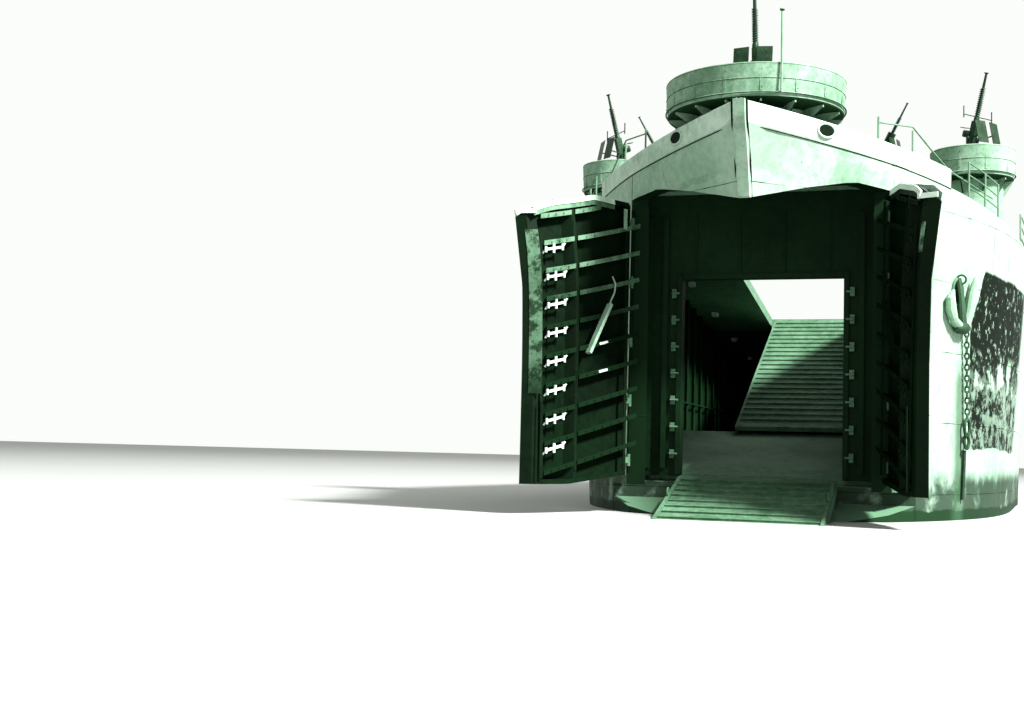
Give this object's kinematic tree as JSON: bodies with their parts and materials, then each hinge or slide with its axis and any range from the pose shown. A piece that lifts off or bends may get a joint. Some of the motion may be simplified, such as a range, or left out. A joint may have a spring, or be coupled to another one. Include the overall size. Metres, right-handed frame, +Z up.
{
  "type": "tank landing ship, 1:10 scale model",
  "caption": "Beaching landing ship with open bow doors, lowered bow ramp, hollow tank deck, deck ramp, gun tubs, deckhouse, davits, rudders and propellers.",
  "frame": {"origin": "middle of the box, on the flat bottom", "axes": "+X to the bow, +Y to port, +Z up"},
  "size_m": [10.25, 1.524, 2.4],
  "materials": {
    "hull": "weathered pale grey paint with rust streaks",
    "bow_interior": "dark grey paint in shade",
    "deck": "scuffed dark deck paint",
    "door": "grey paint, stained and rusted",
    "ramp": "worn steel ramp with cleats",
    "superstructure": "pale grey paint",
    "gunmetal": "dark oiled steel",
    "steel": "grey machinery paint",
    "anchor": "black paint over cast steel",
    "bronze": "dull bronze",
    "rudder": "dark red bottom paint"
  },
  "bodies": {
    "hull": {"forefoot": "hull", "hull_bottom": "hull", "hull_side_port": "hull", "hull_side_starboard": "hull", "bow_shell": "hull", "bulwark": "hull", "stern_block": "hull", "centre_skeg": "hull", "bow_bulkhead": "bow_interior", "main_deck": "deck", "tank_deck": "deck", "hatch_cover": "deck", "bow_gun_tub": "superstructure", "side_tub_port": "superstructure", "side_tub_starboard": "superstructure", "stern_gun_tub": "superstructure", "deckhouse": "superstructure", "wheelhouse": "superstructure", "bridge_tub": "superstructure", "mast": "superstructure", "ventilators_port": "superstructure", "ventilators_starboard": "superstructure", "light_gun_port": "gunmetal", "light_gun_starboard": "gunmetal", "windlass": "steel", "stern_winch": "steel", "engines": "steel", "shaft_port": "steel", "shaft_starboard": "steel", "bow_anchor_port": "anchor", "bow_anchor_starboard": "anchor", "stern_anchor": "anchor"},
    "bow_door_port": {"bow_door_port": "door"},
    "bow_door_starboard": {"bow_door_starboard": "door"},
    "bow_ramp": {"bow_ramp": "ramp"},
    "main_deck_ramp": {"main_deck_ramp": "ramp"},
    "rudder_port": {"rudder_port": "rudder"},
    "rudder_starboard": {"rudder_starboard": "rudder"},
    "propeller_port": {"propeller_port": "bronze"},
    "propeller_starboard": {"propeller_starboard": "bronze"},
    "bow_gun": {"bow_gun": "gunmetal"},
    "side_gun_port": {"side_gun_port": "gunmetal"},
    "side_gun_starboard": {"side_gun_starboard": "gunmetal"},
    "stern_gun": {"stern_gun": "gunmetal"},
    "davits_port": {"davits_port": "superstructure"},
    "davits_starboard": {"davits_starboard": "superstructure"}
  },
  "joints": [
    {"name": "bow_door_port_swing", "type": "hinge", "parent": "hull", "child": "bow_door_port", "pos_m": [4.50103, 0.3389, 0.58], "axis": [0, 0, -1], "range_deg": [-17.5, 68.5]},
    {"name": "bow_door_starboard_swing", "type": "hinge", "parent": "hull", "child": "bow_door_starboard", "pos_m": [4.50103, -0.3389, 0.58], "axis": [0, 0, 1], "range_deg": [-3, 83]},
    {"name": "bow_ramp_lift", "type": "hinge", "parent": "hull", "child": "bow_ramp", "pos_m": [4.43203, 0, 0.212], "axis": [0, -1, 0], "range_deg": [0, 106]},
    {"name": "main_deck_ramp_lift", "type": "hinge", "parent": "hull", "child": "main_deck_ramp", "pos_m": [2.57703, 0, 0.81795], "axis": [0, -1, 0], "range_deg": [0, 29.12]},
    {"name": "rudder_port_turn", "type": "hinge", "parent": "hull", "child": "rudder_port", "pos_m": [-4.63797, 0.29, 0.17], "axis": [0, 0, 1], "range_deg": [-35, 35]},
    {"name": "rudder_starboard_turn", "type": "hinge", "parent": "hull", "child": "rudder_starboard", "pos_m": [-4.63797, -0.29, 0.17], "axis": [0, 0, 1], "range_deg": [-35, 35]},
    {"name": "propeller_port_spin", "type": "hinge", "parent": "hull", "child": "propeller_port", "pos_m": [-4.42797, 0.29, 0.135], "axis": [1, 0, 0], "continuous": true},
    {"name": "propeller_starboard_spin", "type": "hinge", "parent": "hull", "child": "propeller_starboard", "pos_m": [-4.42797, -0.29, 0.135], "axis": [1, 0, 0], "continuous": true},
    {"name": "bow_gun_train", "type": "hinge", "parent": "hull", "child": "bow_gun", "pos_m": [4.59403, 0, 1.2], "axis": [0, 0, 1], "range_deg": [-150, 150]},
    {"name": "side_gun_port_train", "type": "hinge", "parent": "hull", "child": "side_gun_port", "pos_m": [3.77203, 0.55, 1.23], "axis": [0, 0, 1], "range_deg": [-150, 150]},
    {"name": "side_gun_starboard_train", "type": "hinge", "parent": "hull", "child": "side_gun_starboard", "pos_m": [3.77203, -0.55, 1.23], "axis": [0, 0, 1], "range_deg": [-150, 150]},
    {"name": "stern_gun_train", "type": "hinge", "parent": "hull", "child": "stern_gun", "pos_m": [-4.56797, 0, 1.1], "axis": [0, 0, 1], "range_deg": [-150, 150]},
    {"name": "davits_port_swing", "type": "hinge", "parent": "hull", "child": "davits_port", "pos_m": [-2.07797, 0.67, 0.807], "axis": [-1, 0, 0], "range_deg": [0, 45]},
    {"name": "davits_starboard_swing", "type": "hinge", "parent": "hull", "child": "davits_starboard", "pos_m": [-2.07797, -0.67, 0.807], "axis": [1, 0, 0], "range_deg": [0, 45]}
  ],
  "couplings": [
    {"joint": "rudder_starboard_turn", "follows": "rudder_port_turn", "ratio": 1}
  ]
}
